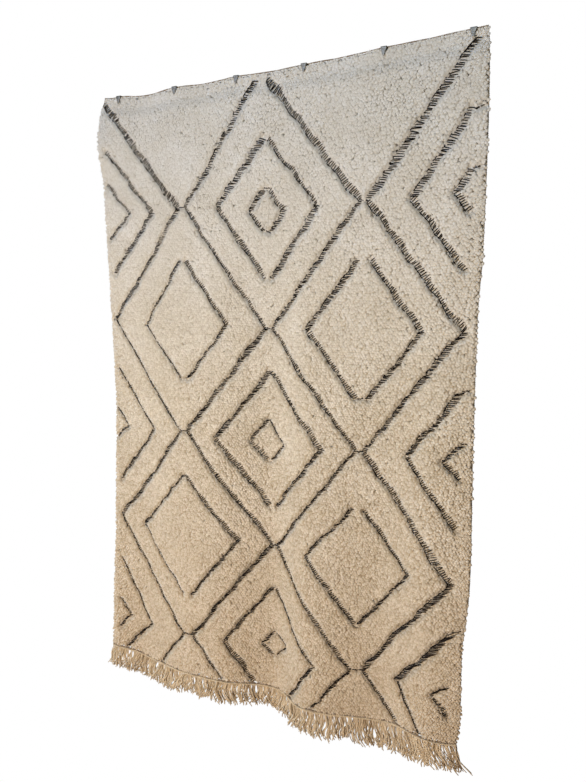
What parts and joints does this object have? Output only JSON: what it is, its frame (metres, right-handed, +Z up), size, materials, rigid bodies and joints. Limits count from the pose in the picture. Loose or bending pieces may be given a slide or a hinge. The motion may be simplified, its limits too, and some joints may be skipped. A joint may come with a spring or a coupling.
{
  "type": "beni ourain rug hanging on wall hooks",
  "caption": "Thick cream wool pile rug with a sunken dark diamond lattice and a twisted cord fringe, hanging in soft folds from bent steel strip hooks on a wall.",
  "frame": {"origin": "middle of the rug's top edge, on the wall plane that the hooks' back plates lie on", "axes": "+Z up, +X to the right along the top edge seen from the front, -Y out of the front of the pile"},
  "size_m": [1.7143, 0.1333, 2.6841],
  "materials": {
    "wool_pile": "matt tufted wool pile, undyed cream with dark brown lines",
    "fringe_cord": "matt twisted wool cord, tan",
    "hook_steel": "dull galvanised"
  },
  "bodies": {
    "root": {"rug_body": "wool_pile", "fringe": "fringe_cord", "hook_1": "hook_steel", "hook_2": "hook_steel", "hook_3": "hook_steel", "hook_4": "hook_steel", "hook_5": "hook_steel", "hook_6": "hook_steel"}
  },
  "joints": []
}
